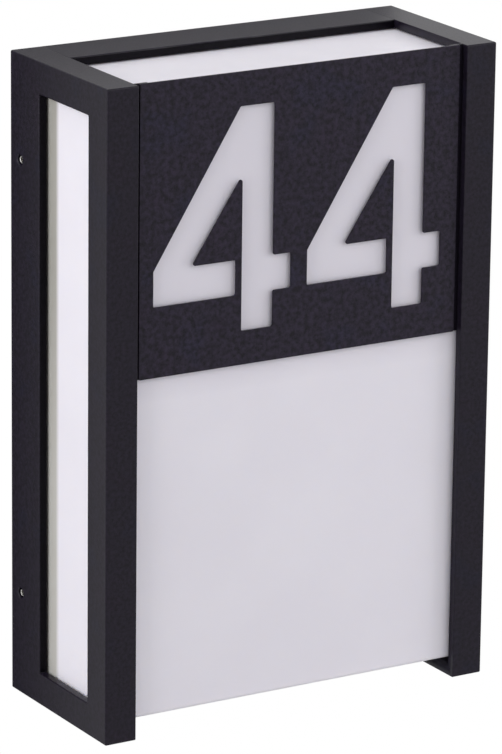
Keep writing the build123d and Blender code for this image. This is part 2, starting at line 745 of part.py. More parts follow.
block_seat = block_front - block_screw_sink
block_screws = pan_screws(
    [facing_street(block_seat, x, z) for x, z in block_screw_places],
    block_screw_radius,
    block_seat,
    block_head_radius,
    block_head_height,
)
block_screws.part.label = "block_screws"
export_step(block_screws.part, "parts/block_screws.step")

# ---------------------------------------------------------------- leads
# The leads hang from the holder's ferrules and turn across into the terminal block.
lead_end_x = block_mouth + lead_hole_depth
for side, pole_z, name in ((1, live_pole, "lead_live"), (-1, neutral_pole, "lead_neutral")):
    holder_lead = lead(
        name,
        [
            (side * lead_offset, -lamp_from_wall, ferrule_bottom + ferrule_bore),
            (side * lead_offset, -lamp_from_wall, pole_z),
            (block_mouth - lead_straight_length, -wire_line, pole_z),
            (lead_end_x, -wire_line, pole_z),
        ],
    )
    holder_lead.part.label = name
    export_step(holder_lead.part, f"parts/{name}.step")

barrel_line = tray_plate + barrel_radius
barrel_end_x = earth_x - lug_neck
earth_turn_x = block_mouth - earth_straight_length
lead_earth = lead(
    "lead_earth",
    [
        (lead_end_x, -wire_line, earth_pole),
        (earth_turn_x, -wire_line, earth_pole),
        (earth_turn_x, -barrel_line, earth_z),
        (barrel_end_x, -barrel_line, earth_z),
    ],
)
lead_earth.part.label = "lead_earth"
export_step(lead_earth.part, "parts/lead_earth.step")

# ---------------------------------------------------------------- earth point
# Ring terminal: a flat ring and tongue with a closed barrel that the lead's end meets.
with BuildPart() as earth_lug:
    with BuildSketch(facing_street(tray_plate, earth_x, earth_z)):
        Circle(lug_radius)
        with Locations((-lug_neck / 2, 0)):
            Rectangle(lug_neck, 2 * barrel_radius)
        Circle(pan_screw_radius, mode=Mode.SUBTRACT)
    extrude(amount=lug_sheet)
    with BuildSketch(Plane.YZ.offset(barrel_end_x)):
        with Locations((-barrel_line, earth_z)):
            Circle(barrel_radius)
    extrude(amount=barrel_length)
earth_lug.part.label = "earth_lug"
export_step(earth_lug.part, "parts/earth_lug.step")

with BuildPart() as earth_washer:
    with BuildSketch(facing_street(lug_front, earth_x, earth_z)):
        Circle(washer_radius)
        Circle(pan_screw_radius, mode=Mode.SUBTRACT)
    extrude(amount=washer_height)
earth_washer.part.label = "earth_washer"
export_step(earth_washer.part, "parts/earth_washer.step")

earth_stack = lug_front + washer_height
earth_screw = pan_screws(
    [facing_street(earth_stack, earth_x, earth_z)],
    pan_screw_radius,
    earth_stack,
    pan_head_radius,
    pan_head_height,
)
earth_screw.part.label = "earth_screw"
export_step(earth_screw.part, "parts/earth_screw.step")
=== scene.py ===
# %% [markdown]
# # An illuminated house number sign
#
# The sign is a cage of black powder-coated metal round an opal light box. A plate with two cut-out
# fours hangs in front of the light box, and a hidden tray behind it is screwed to the wall. The
# solids come from the construction model, at their real size. This lesson dresses them: it gives
# each one a finish, and remakes the ones whose fine shape the construction model leaves plain.
#
# We start by loading the frame. Every later step reads its places from it, so nothing needs fitting.

# %% Load the frame
import math

import bmesh
import bpy
import numpy as np
from mathutils import Matrix, Vector


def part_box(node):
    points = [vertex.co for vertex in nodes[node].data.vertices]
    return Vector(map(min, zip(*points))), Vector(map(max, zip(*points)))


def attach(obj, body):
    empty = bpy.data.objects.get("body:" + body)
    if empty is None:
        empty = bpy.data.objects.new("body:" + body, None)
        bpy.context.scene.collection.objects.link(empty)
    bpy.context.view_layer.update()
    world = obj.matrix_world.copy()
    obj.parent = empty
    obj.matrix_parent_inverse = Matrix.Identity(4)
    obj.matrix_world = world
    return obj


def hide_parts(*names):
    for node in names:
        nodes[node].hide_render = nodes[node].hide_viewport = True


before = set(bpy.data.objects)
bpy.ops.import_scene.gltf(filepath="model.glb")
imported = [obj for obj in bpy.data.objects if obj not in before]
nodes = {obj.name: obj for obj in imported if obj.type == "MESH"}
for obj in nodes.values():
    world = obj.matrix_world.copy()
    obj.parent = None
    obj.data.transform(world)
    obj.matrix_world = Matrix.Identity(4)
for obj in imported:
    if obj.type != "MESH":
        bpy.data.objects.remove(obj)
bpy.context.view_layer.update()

MM = 0.001
print("solids in the frame:", len(nodes))

# %% [markdown]
# ## The camera
#
# A product photograph is taken from far away with a long lens, so that upright edges stay nearly
# parallel. The camera here stands two metres off, turned 31 degrees to the left of the sign and
# looking 16 degrees down. We could aim it with a constraint, but three plain vectors say the same
# and can be read back: where "back" is, where "right" is, and where "up" is.

# %% Camera
CAMERA_TURN = math.radians(31.03)
CAMERA_DROP = math.radians(16.49)
CAMERA_ROLL = math.radians(0.68)
CAMERA_DISTANCE = 2.012
AIM_POINT = Vector((0.0, -40 * MM, 0.0))
AIM_RIGHT = 0.07 * MM
AIM_DOWN = 3.49 * MM
FOCAL_LENGTH = 234.9  # millimetres
SENSOR_LONG_SIDE = 36.0  # millimetres
CLIP_NEAR, CLIP_FAR = 0.05, 50.0

back = Vector((
    -math.sin(CAMERA_TURN) * math.cos(CAMERA_DROP),
    -math.cos(CAMERA_TURN) * math.cos(CAMERA_DROP),
    math.sin(CAMERA_DROP),
))
level_right = Vector((math.cos(CAMERA_TURN), -math.sin(CAMERA_TURN), 0.0))
level_up = back.cross(level_right)
right = math.cos(CAMERA_ROLL) * level_right + math.sin(CAMERA_ROLL) * level_up
up = math.cos(CAMERA_ROLL) * level_up - math.sin(CAMERA_ROLL) * level_right

camera_data = bpy.data.cameras.new("camera")
camera_data.sensor_width = SENSOR_LONG_SIDE
camera_data.lens = FOCAL_LENGTH
camera_data.clip_start = CLIP_NEAR
camera_data.clip_end = CLIP_FAR
camera = bpy.data.objects.new("camera", camera_data)
bpy.context.scene.collection.objects.link(camera)
camera.location = AIM_POINT + AIM_RIGHT * right - AIM_DOWN * up + CAMERA_DISTANCE * back
camera.rotation_mode = "QUATERNION"
camera.rotation_quaternion = Matrix((right, up, back)).transposed().to_quaternion()
bpy.context.scene.camera = camera
print("camera stands at", [round(value, 3) for value in camera.location])

# %% [markdown]
# ## The studio
#
# The photograph was taken against pure white. More light would burn out the pale light box long
# before the backdrop turned white, so the white comes from the surfaces themselves: rays that come
# straight from the camera, or by way of a gloss or a glass, see white, and all other rays see a
# quiet grey. The floor does the same, and keeps a share of its real shading for the shadow.
# A house number hangs on a wall, so the floor lies well below it, low enough to look up at the sign
# from under it. Its white grows with distance, so it keeps a soft shadow under the sign and has no
# edge at the horizon.

# %% Backdrop and floor
AMBIENT = 0.46
FLOOR_GREY = 0.85
FLOOR_DROP = 2.5
FLOOR_REACH = 12.0
FLOOR_WHITE_NEAR = 0.8  # the share of plain white up to FLOOR_NEAR metres from the sign
FLOOR_NEAR = 3.0
FLOOR_FAR = 5.0  # from here on the floor is plain white


def seen_directly(tree):
    """1 for rays from the camera, also by way of gloss or glass, and 0 for the rest."""
    path = tree.nodes.new("ShaderNodeLightPath")
    total = path.outputs["Is Camera Ray"]
    for name in ("Is Glossy Ray", "Is Transmission Ray"):
        larger = tree.nodes.new("ShaderNodeMath")
        larger.operation = "MAXIMUM"
        tree.links.new(total, larger.inputs[0])
        tree.links.new(path.outputs[name], larger.inputs[1])
        total = larger.outputs["Value"]
    return total


world = bpy.data.worlds.new("studio")
bpy.context.scene.world = world
world.use_nodes = True
sky = world.node_tree
sky.nodes.clear()
dim = sky.nodes.new("ShaderNodeBackground")
dim.inputs["Color"].default_value = (AMBIENT, AMBIENT, AMBIENT, 1.0)
white = sky.nodes.new("ShaderNodeBackground")
white.inputs["Color"].default_value = (1.0, 1.0, 1.0, 1.0)
sky_mix = sky.nodes.new("ShaderNodeMixShader")
sky_output = sky.nodes.new("ShaderNodeOutputWorld")
sky.links.new(seen_directly(sky), sky_mix.inputs["Fac"])
sky.links.new(dim.outputs["Background"], sky_mix.inputs[1])
sky.links.new(white.outputs["Background"], sky_mix.inputs[2])
sky.links.new(sky_mix.outputs["Shader"], sky_output.inputs["Surface"])

floor_paint = bpy.data.materials.new("pale_floor")
floor_paint.use_nodes = True
floor_tree = floor_paint.node_tree
floor_tree.nodes.clear()
matt = floor_tree.nodes.new("ShaderNodeBsdfDiffuse")
matt.inputs["Color"].default_value = (FLOOR_GREY, FLOOR_GREY, FLOOR_GREY, 1.0)
glow = floor_tree.nodes.new("ShaderNodeEmission")
floor_place = floor_tree.nodes.new("ShaderNodeTexCoord")
from_sign = floor_tree.nodes.new("ShaderNodeVectorMath")
from_sign.operation = "LENGTH"
floor_tree.links.new(floor_place.outputs["Object"], from_sign.inputs[0])
whiteness = floor_tree.nodes.new("ShaderNodeMapRange")
whiteness.inputs["From Min"].default_value = FLOOR_NEAR
whiteness.inputs["From Max"].default_value = FLOOR_FAR
whiteness.inputs["To Min"].default_value = FLOOR_WHITE_NEAR
whiteness.inputs["To Max"].default_value = 1.0
floor_tree.links.new(from_sign.outputs["Value"], whiteness.inputs["Value"])
share = floor_tree.nodes.new("ShaderNodeMath")
share.operation = "MULTIPLY"
floor_tree.links.new(whiteness.outputs["Result"], share.inputs[1])
floor_mix = floor_tree.nodes.new("ShaderNodeMixShader")
floor_output = floor_tree.nodes.new("ShaderNodeOutputMaterial")
floor_tree.links.new(seen_directly(floor_tree), share.inputs[0])
floor_tree.links.new(share.outputs["Value"], floor_mix.inputs["Fac"])
floor_tree.links.new(matt.outputs["BSDF"], floor_mix.inputs[1])
floor_tree.links.new(glow.outputs["Emission"], floor_mix.inputs[2])
floor_tree.links.new(floor_mix.outputs["Shader"], floor_output.inputs["Surface"])

floor_mesh = bpy.data.meshes.new("floor")
floor_corners = [
    (x * FLOOR_REACH, y * FLOOR_REACH, -FLOOR_DROP) for x, y in ((-1, -1), (1, -1), (1, 1), (-1, 1))
]
floor_mesh.from_pydata(floor_corners, [], [(0, 1, 2, 3)])
floor_mesh.materials.append(floor_paint)
floor = bpy.data.objects.new("floor", floor_mesh)
bpy.context.scene.collection.objects.link(floor)
print("floor lies", FLOOR_DROP, "m below the middle of the sign")

# %% [markdown]
# ## A black card behind the sign
#
# Black paint is mostly a mirror for what stands round it. In a white room its glancing faces turn
# grey, so photographers stand a black card where those faces look. Here a card cut to an angle
# stands behind the sign. Its upright arm is what the rear bar of the left side reflects, and its
# level arm is what the rear of the top reflects. Only reflections see the card.

# %% Black card
CARD_LEFT, CARD_INNER, CARD_RIGHT = -0.166, -0.090, 0.155
CARD_LOW, CARD_LEVEL, CARD_HIGH = -0.30, 0.152, 0.182
CARD_BEHIND = 0.10
CARD_BLACK = 0.01

card_paint = bpy.data.materials.new("black_card")
card_paint.use_nodes = True
card_shader = card_paint.node_tree.nodes["Principled BSDF"]
card_shader.inputs["Base Color"].default_value = (CARD_BLACK, CARD_BLACK, CARD_BLACK, 1.0)
card_shader.inputs["Specular IOR Level"].default_value = 0.0
card_mesh = bpy.data.meshes.new("black_card")
card_mesh.from_pydata([
    (CARD_LEFT, CARD_BEHIND, CARD_LOW), (CARD_INNER, CARD_BEHIND, CARD_LOW),
    (CARD_INNER, CARD_BEHIND, CARD_LEVEL), (CARD_RIGHT, CARD_BEHIND, CARD_LEVEL),
    (CARD_RIGHT, CARD_BEHIND, CARD_HIGH), (CARD_LEFT, CARD_BEHIND, CARD_HIGH),
], [], [(0, 1, 2, 3, 4, 5)])
card_mesh.materials.append(card_paint)
card = bpy.data.objects.new("black_card", card_mesh)
bpy.context.scene.collection.objects.link(card)
for kind in ("camera", "diffuse", "transmission", "volume_scatter", "shadow"):
    setattr(card, "visible_" + kind, False)
print("card stands", CARD_BEHIND, "m behind the sign")

# %% [markdown]
# ## The lights
#
# Four soft boxes light the sign. The main one stands in front and a little above. A second one far
# round on the right rakes across the front: the cut-outs show a wide, soft shade along their right
# edges, which only a low light from that side can give. One on the left lights the side window, and
# one above lights the top. Each is given by the level that it would lend to a white card facing it.
# Its power follows: the light spreads over pi times the distance squared, and a white card sends
# back one part in pi of what falls on it.

# %% Soft boxes
SOFT_BOXES = (
    # name, direction from the sign, distance, width and height in metres, level
    ("main_softbox", (0.35, -0.90, 0.50), 1.6, 1.1, 1.1, 0.28),
    ("right_softbox", (1.0, -0.36, 0.15), 1.4, 0.8, 1.0, 0.44),
    ("left_softbox", (-1.0, -0.12, 0.30), 1.3, 0.9, 1.0, 0.69),
    ("top_softbox", (-0.1, 0.25, 1.0), 1.3, 0.9, 0.9, 0.26),
)


def softbox(name, direction, distance, width, height, level):
    """Rectangular area light that looks at the middle of the sign."""
    data = bpy.data.lights.new(name, "AREA")
    data.shape = "RECTANGLE"
    data.size = width
    data.size_y = height
    data.energy = level * math.pi**2 * distance**2
    light = bpy.data.objects.new(name, data)
    bpy.context.scene.collection.objects.link(light)
    towards = Vector(direction).normalized()
    light.location = AIM_POINT + distance * towards
    light.rotation_mode = "QUATERNION"
    light.rotation_quaternion = (-towards).to_track_quat("-Z", "Y")
    light.visible_camera = False
    print(name, "power", round(data.energy, 1), "W")


for settings in SOFT_BOXES:
    softbox(*settings)

bpy.context.scene.view_settings.view_transform = "Standard"

# %% [markdown]
# ## Tools for finishes
#
# A finish on a real object is never one flat colour. Paint has a grain, plastic is cloudy, metal is
# scratched. We build each finish from the same few parts: noise of a known size in the object's own
# coordinates, a colour ramp that the noise runs along, a range for the gloss, and a relief.
# Noise of a known size matters most: a grain of half a millimetre reads as powder coat, and the
# same grain at five millimetres reads as rust.

# %% Finish tools
def start_finish(name):
    """A new material with one Principled shader wired to its output."""
    material = bpy.data.materials.new(name)
    material.use_nodes = True
    tree = material.node_tree
    tree.nodes.clear()
    output = tree.nodes.new("ShaderNodeOutputMaterial")
    shader = tree.nodes.new("ShaderNodeBsdfPrincipled")
    tree.links.new(shader.outputs["BSDF"], output.inputs["Surface"])
    return material, tree, shader


def grain(tree, size, detail=3.0, stretch=(1.0, 1.0, 1.0)):
    """Noise in blobs of a size in metres, longer along an axis with a small stretch."""
    place = tree.nodes.new("ShaderNodeTexCoord")
    mapping = tree.nodes.new("ShaderNodeMapping")
    mapping.inputs["Scale"].default_value = stretch
    noise = tree.nodes.new("ShaderNodeTexNoise")
    noise.inputs["Scale"].default_value = 1.0 / size
    noise.inputs["Detail"].default_value = detail
    tree.links.new(place.outputs["Object"], mapping.inputs["Vector"])
    tree.links.new(mapping.outputs["Vector"], noise.inputs["Vector"])
    return noise.outputs["Fac"]


def ramp(tree, factor, low, high, start=0.35, stop=0.65):
    """Colour that runs from low to high while the factor runs from start to stop."""
    node = tree.nodes.new("ShaderNodeValToRGB")
    node.color_ramp.elements[0].position = start
    node.color_ramp.elements[0].color = (*low, 1.0)
    node.color_ramp.elements[1].position = stop
    node.color_ramp.elements[1].color = (*high, 1.0)
    tree.links.new(factor, node.inputs["Fac"])
    return node.outputs["Color"]


def spread(tree, factor, low, high, start=0.3, stop=0.7):
    """Number that runs from low to high while the factor runs from start to stop."""
    node = tree.nodes.new("ShaderNodeMapRange")
    node.inputs["From Min"].default_value = start
    node.inputs["From Max"].default_value = stop
    node.inputs["To Min"].default_value = low
    node.inputs["To Max"].default_value = high
    tree.links.new(factor, node.inputs["Value"])
    return node.outputs["Result"]


def mix_colours(tree, factor, low, high):
    """Mixes two colour outputs by a number or by a factor output."""
    node = tree.nodes.new("ShaderNodeMix")
    node.data_type = "RGBA"
    if isinstance(factor, float):
        node.inputs["Factor"].default_value = factor
    else:
        tree.links.new(factor, node.inputs["Factor"])
    tree.links.new(low, node.inputs["A"])
    tree.links.new(high, node.inputs["B"])
    return node.outputs["Result"]


def relief(tree, shader, *layers):
    """Raises the surface by each (height, depth in metres) pair, one bump on top of the other."""
    normal = None
    for height, depth in layers:
        bump = tree.nodes.new("ShaderNodeBump")
        bump.inputs["Distance"].default_value = depth
        tree.links.new(height, bump.inputs["Height"])
        if normal:
            tree.links.new(normal, bump.inputs["Normal"])
        normal = bump.outputs["Normal"]
    tree.links.new(normal, shader.inputs["Normal"])


def times(colour, factor):
    """A colour made darker or lighter by a factor."""
    return tuple(channel * factor for channel in colour)


# %% [markdown]
# ## Powder coat
#
# The cage is sprayed with black powder and baked. Seen close, the coat is a field of fine grains with
# a soft, low gloss. The plate's coat is coarser than the cage's: its grains flow into blots of one or
# two millimetres, and it drifts between a bluish and a purplish black. Three noises do it, one for
# the grain, one for the blots and one for the drift. The gloss is weak when seen square on and strong
# at a glancing angle, which is what a low specular level gives: black on the front, grey on the top.

# %% Powder coat
COAT_GREY = (0.0100, 0.0077, 0.0144)
COAT_BLUISH = (0.0093, 0.0078, 0.0159)
COAT_PURPLISH = (0.0104, 0.0075, 0.0145)
COAT_TINTS = (  # the tint at each level of the drift
    (0.34, COAT_BLUISH),
    (0.44, COAT_GREY),
    (0.58, COAT_GREY),
    (0.66, COAT_PURPLISH),
)
COAT_GRAIN, COAT_DRIFT = 0.6 * MM, 17 * MM
COAT_ROUGHNESS = (0.30, 0.38)
GRAIN_SHARE = 0.3  # of the shade, the rest is the blots'
BLOT_RANGE = (0.34, 0.66)
BLOTS_BRIGHTEN = 1.4  # bright blots stand out more than dark ones
BLOTS_RISE = 2.5  # the blots' relief, in depths of the grain


def powder_coat(name, strength, blot_size, contrast, grain_depth, gloss=0.15):
    """Baked powder: blots of a size and a contrast, and a fine grain of a depth, in metres."""
    material, tree, shader = start_finish(name)
    fine = grain(tree, COAT_GRAIN, detail=2.0)
    blots = grain(tree, blot_size, detail=2.0)
    drift = grain(tree, COAT_DRIFT, detail=3.0)
    tints = tree.nodes.new("ShaderNodeValToRGB")
    stops = tints.color_ramp.elements
    stops[0].position = COAT_TINTS[0][0]
    stops[1].position = COAT_TINTS[-1][0]
    for position, _ in COAT_TINTS[1:-1]:
        stops.new(position)
    for stop, (_, tint) in zip(stops, COAT_TINTS):
        stop.color = (*times(tint, strength), 1.0)
    tree.links.new(drift, tints.inputs["Fac"])
    shade = mix_colours(
        tree, GRAIN_SHARE,
        ramp(tree, blots, (1 - contrast,) * 3, (1 + BLOTS_BRIGHTEN * contrast,) * 3, *BLOT_RANGE),
        ramp(tree, fine, (1 - contrast,) * 3, (1 + contrast,) * 3),
    )
    shaded = tree.nodes.new("ShaderNodeVectorMath")
    shaded.operation = "MULTIPLY"
    tree.links.new(tints.outputs["Color"], shaded.inputs[0])
    tree.links.new(shade, shaded.inputs[1])
    tree.links.new(shaded.outputs["Vector"], shader.inputs["Base Color"])
    tree.links.new(spread(tree, fine, *COAT_ROUGHNESS), shader.inputs["Roughness"])
    shader.inputs["Specular IOR Level"].default_value = gloss
    relief(tree, shader, (fine, grain_depth), (blots, BLOTS_RISE * grain_depth))
    return material


cage_coat = powder_coat("black_powder_coat", 0.95, 1.6 * MM, 0.4, 0.012 * MM)
plate_coat = powder_coat("coarse_black_powder_coat", 1.35, 2.1 * MM, 0.7, 0.030 * MM)
tray_coat = powder_coat("tray_powder_coat", 1.1, 2.0 * MM, 0.5, 0.020 * MM)
rail_coat = powder_coat("matt_black_coat", 0.7, 1.0 * MM, 0.3, 0.01 * MM, gloss=0.14)
# a much darker coat that paints the shade on faces deep in the cage
painted_shade_coat = powder_coat("painted_shade_black_coat", 0.3, 1.6 * MM, 0.4, 0.012 * MM, gloss=0.08)
for coat in (cage_coat, plate_coat, tray_coat, rail_coat, painted_shade_coat):
    print("powder coat:", coat.name)

# %% [markdown]
# ## Opal acrylic
#
# The light box is moulded from white, cloudy acrylic. Light goes a few millimetres into it and comes
# out again, which softens every shadow that falls on it. Subsurface scattering does exactly that.
# On its two side walls, near the open rim, the dark tray stands close behind the thin wall, and its
# shade is painted into the colour: a warm grey band on the side walls only, which fades over a few
# millimetres and is deepest at the top, where the tray's wall lies in the shade of the cage. In the
# same way the number plate keeps light from entering the front wall beside the cut-outs, and that
# shade is painted too: the acrylic's colour is darker behind the plate, and wins its full white back
# about a centimetre below it.

# %% Opal acrylic
OPAL = (0.838, 0.806, 0.885)
# painted shade: the dark tray seen through the side walls, deeper at the top
PAINTED_TRAY_SHADE = (0.395, 0.382, 0.352)
PAINTED_TRAY_SHADE_LOW = (0.520, 0.506, 0.478)
TRAY_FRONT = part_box("base_tray")[0].y
SIDE_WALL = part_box("diffuser")[1].x
FRONT_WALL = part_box("diffuser")[0].y
PLATE_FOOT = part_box("number_plate")[0].z
# painted shade on the front wall behind the number plate
PAINTED_PLATE_SHADE = 0.885
CLOUD_DARK, CLOUD_PALE = 0.985, 1.01
CLOUD_SIZE, HAZE_SIZE = 45 * MM, 6 * MM
OVER_TRAY_LOW, OVER_TRAY_TOP = -40 * MM, 50 * MM  # heights between which the painted shade of the tray deepens
RIM_FADES = (4.2 * MM, 1.4 * MM)  # ahead of the tray: where the painted shade starts, and where it is full
SIDE_FADES = (1.6 * MM, 1.0 * MM)  # inwards from the side wall's outside
PLATE_FADES = (11 * MM, 1 * MM)  # the plate's painted shade fades out below and in above the plate's foot
FRONT_FADES = (0.8 * MM, 1.6 * MM)  # inwards from the front
LIGHT_DEPTH = 3.2 * MM


def product(tree, first, second):
    """The product of two number outputs."""
    node = tree.nodes.new("ShaderNodeMath")
    node.operation = "MULTIPLY"
    tree.links.new(first, node.inputs[0])
    tree.links.new(second, node.inputs[1])
    return node.outputs["Value"]


def opal_acrylic():
    """Cloudy white acrylic, with painted shade on its side walls next to the open rim and behind the
    plate.
    """
    material, tree, shader = start_finish("opal_acrylic")
    cloud = grain(tree, CLOUD_SIZE, detail=2.0)
    haze = grain(tree, HAZE_SIZE, detail=3.0)
    body = ramp(tree, cloud, times(OPAL, CLOUD_DARK), times(OPAL, CLOUD_PALE))
    # the same cloudy white, darkened by the plate's painted shade
    shaded = ramp(
        tree, cloud, times(OPAL, CLOUD_DARK * PAINTED_PLATE_SHADE), times(OPAL, CLOUD_PALE * PAINTED_PLATE_SHADE)
    )
    place = tree.nodes.new("ShaderNodeTexCoord")
    split = tree.nodes.new("ShaderNodeSeparateXYZ")
    tree.links.new(place.outputs["Object"], split.inputs["Vector"])
    depth, height = split.outputs["Y"], split.outputs["Z"]
    # painted shade of the tray on the side walls, and of the plate on the front
    rise = spread(tree, height, 0.0, 1.0, OVER_TRAY_LOW, OVER_TRAY_TOP)
    painted_tray_shade = ramp(tree, rise, PAINTED_TRAY_SHADE_LOW, PAINTED_TRAY_SHADE, 0.0, 1.0)
    rim = spread(tree, depth, 0.0, 1.0, TRAY_FRONT - RIM_FADES[0], TRAY_FRONT - RIM_FADES[1])
    sideways = tree.nodes.new("ShaderNodeMath")
    sideways.operation = "ABSOLUTE"
    tree.links.new(split.outputs["X"], sideways.inputs[0])
    aside = sideways.outputs["Value"]
    on_side = spread(tree, aside, 0.0, 1.0, SIDE_WALL - SIDE_FADES[0], SIDE_WALL - SIDE_FADES[1])
    below, above = PLATE_FADES
    under_plate_shade = spread(tree, height, 0.0, 1.0, PLATE_FOOT - below, PLATE_FOOT + above)
    on_front = spread(tree, depth, 1.0, 0.0, FRONT_WALL + FRONT_FADES[0], FRONT_WALL + FRONT_FADES[1])
    front = mix_colours(tree, product(tree, under_plate_shade, on_front), body, shaded)
    colour = mix_colours(tree, product(tree, rim, on_side), front, painted_tray_shade)
    tree.links.new(colour, shader.inputs["Base Color"])
    tree.links.new(spread(tree, haze, 0.30, 0.36), shader.inputs["Roughness"])
    shader.inputs["Specular IOR Level"].default_value = 0.35
    shader.inputs["Subsurface Weight"].default_value = 0.85
    shader.inputs["Subsurface Radius"].default_value = (1.0, 0.95, 0.9)
    shader.inputs["Subsurface Scale"].default_value = LIGHT_DEPTH
    relief(tree, shader, (cloud, 0.03 * MM), (haze, 0.002 * MM))
    return material


def dress(material, *names):
    """Gives each named solid one material."""
    for name in names:
        data = nodes[name].data
        data.materials.clear()
        data.materials.append(material)
        print(name, "wears", material.name)


dress(opal_acrylic(), "diffuser")

# %% [markdown]
# ## Edges of sheet metal
#
# No edge of a painted sheet is knife sharp: the paint rounds it and it catches a thin line of light.
# The solids have true sharp edges there, so each painted piece gets a copy that stands for it. We
# merge the copy's corners, join the triangles that lie in one plane, and bevel every edge that turns
# more than thirty degrees. Weighted normals then keep the large faces flat and shade only the bevel.
# A bevel modifier could do the same, but picking the edges in code leaves the round corners alone.
#
# The crossbars are welded to the side frames and painted over, so no seam shows there: we leave the
# edges in the weld's plane sharp. Deep inside the cage, the cut edges that look forward through the
# windows and over the light box lie in shade, and that shade is painted on: those faces get a much
# darker coat of their own.

# %% Eased sheet
EASE_ABOVE = math.radians(30.0)
FLAT_WITHIN = math.radians(0.1)
SAME_CORNER = 0.001 * MM
SAME_PLANE = 0.01 * MM
LOOKS_FORWARD = -0.9  # a face whose normal's y is less than this looks forward
PAINTED_SHADE_FROM = 2 * MM  # ahead of the crossbars, where the painted shade starts
WELD_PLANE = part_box("top_crossbar")[1].x
REAR_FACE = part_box("top_crossbar")[1].y
CROSSBAR_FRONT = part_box("top_crossbar")[0].y


def add_piece(name, mesh, body, slot, materials, *solids):
    """Links a mesh that rides on a body and stands for the named solids."""
    piece = bpy.data.objects.new(name, mesh)
    bpy.context.scene.collection.objects.link(piece)
    mesh.materials.clear()
    for material in materials:
        mesh.materials.append(material)
    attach(piece, body)
    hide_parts(*solids)
    print(name, "on", body, "has", len(mesh.polygons), "faces")
    return piece


def in_weld(edge):
    """Whether an edge lies in the plane where a crossbar meets a side frame."""
    first, last = (corner.co for corner in edge.verts)
    in_plane = abs(abs(first.x) - WELD_PLANE) < SAME_PLANE and abs(first.x - last.x) < SAME_PLANE
    at_bar = min(first.y, last.y) > CROSSBAR_FRONT - SAME_PLANE
    return in_plane and (at_bar or max(first.y, last.y) > REAR_FACE - SAME_PLANE)


def eased(solid, body, slot, materials, width, welded=False):
    """A copy of a solid whose sharp edges are rounded off over a width in metres."""
    shape = bmesh.new()
    shape.from_mesh(nodes[solid].data)
    bmesh.ops.remove_doubles(shape, verts=shape.verts, dist=SAME_CORNER)
    bmesh.ops.dissolve_limit(shape, angle_limit=FLAT_WITHIN, verts=shape.verts, edges=shape.edges)
    sharp = [
        edge for edge in shape.edges
        if len(edge.link_faces) == 2 and edge.calc_face_angle() > EASE_ABOVE
    ]
    if welded:
        sharp = [edge for edge in sharp if not in_weld(edge)]
    bmesh.ops.bevel(
        shape, geom=sharp, offset=width, segments=2, profile=0.5, affect="EDGES", clamp_overlap=False
    )
    mesh = bpy.data.meshes.new(solid + "_eased")
    shape.to_mesh(mesh)
    shape.free()
    mesh.shade_smooth()
    piece = add_piece(solid + "_eased", mesh, body, slot, materials, solid)
    piece.modifiers.new("flat_faces", "WEIGHTED_NORMAL")
    return piece


for frame_part in ("side_frame_left", "side_frame_right", "top_crossbar", "bottom_crossbar"):
    piece = eased(frame_part, "cover", "cage_paint", [cage_coat, painted_shade_coat], 0.25 * MM, welded=True)
    # faces deep in the cage that look forward wear the painted shade
    for face in piece.data.polygons:
        if face.normal.y < LOOKS_FORWARD and face.center.y > CROSSBAR_FRONT - PAINTED_SHADE_FROM:
            face.material_index = 1
eased("number_plate", "cover", "plate_paint", [plate_coat], 0.22 * MM)
for rail in ("plate_rail_left", "plate_rail_right"):
    eased(rail, "cover", "rail_black", [rail_coat], 0.15 * MM)
eased("base_tray", "base", "tray_paint", [tray_coat], 0.3 * MM)

# %% [markdown]
# ## Turned pieces and threads
#
# Screws, the lamp's cap and the shell of the lampholder are turned shapes. A turned mesh is a stack
# of rings along an axis. If every ring is given its radius at each step round, the same stack also
# makes a hexagonal socket and a screw thread: on a thread the radius rises and falls along the axis,
# and the wave moves on by one pitch for each full turn.

# %% Turned pieces
THREAD_FADE = 1.6  # a thread gains its full height over one pitch divided by this
SAME_TURNED_CORNER = 0.0001 * MM
TURNED_SHARP_ABOVE = math.radians(42)


def level_rings(profile, steps):
    """Plain rings, one for each (place along the axis, radius) pair of a profile."""
    return [(along, np.full(steps, radius)) for along, radius in profile]


def socket_ring(along, across_flats, steps):
    """A hexagonal ring."""
    angle = np.arange(steps) * 2 * math.pi / steps
    return along, 0.5 * across_flats / np.cos(angle % (math.pi / 3) - math.pi / 6)


def thread_rings(start, stop, root, crest, pitch, steps, rounded=False, rings_per_turn=10):
    """Rings of a right-hand thread that fades out at both ends."""
    turn = np.arange(steps) / steps
    count = round((stop - start) / pitch * rings_per_turn)
    rings = []
    for along in np.linspace(start, stop, count + 1):
        phase = (along / pitch - turn) % 1.0
        wave = 0.5 - 0.5 * np.cos(2 * math.pi * phase) if rounded else 1.0 - np.abs(2 * phase - 1)
        fade = min(1.0, THREAD_FADE * min(along - start, stop - along) / pitch)
        rings.append((along, root + (crest - root) * wave * fade))
    return rings


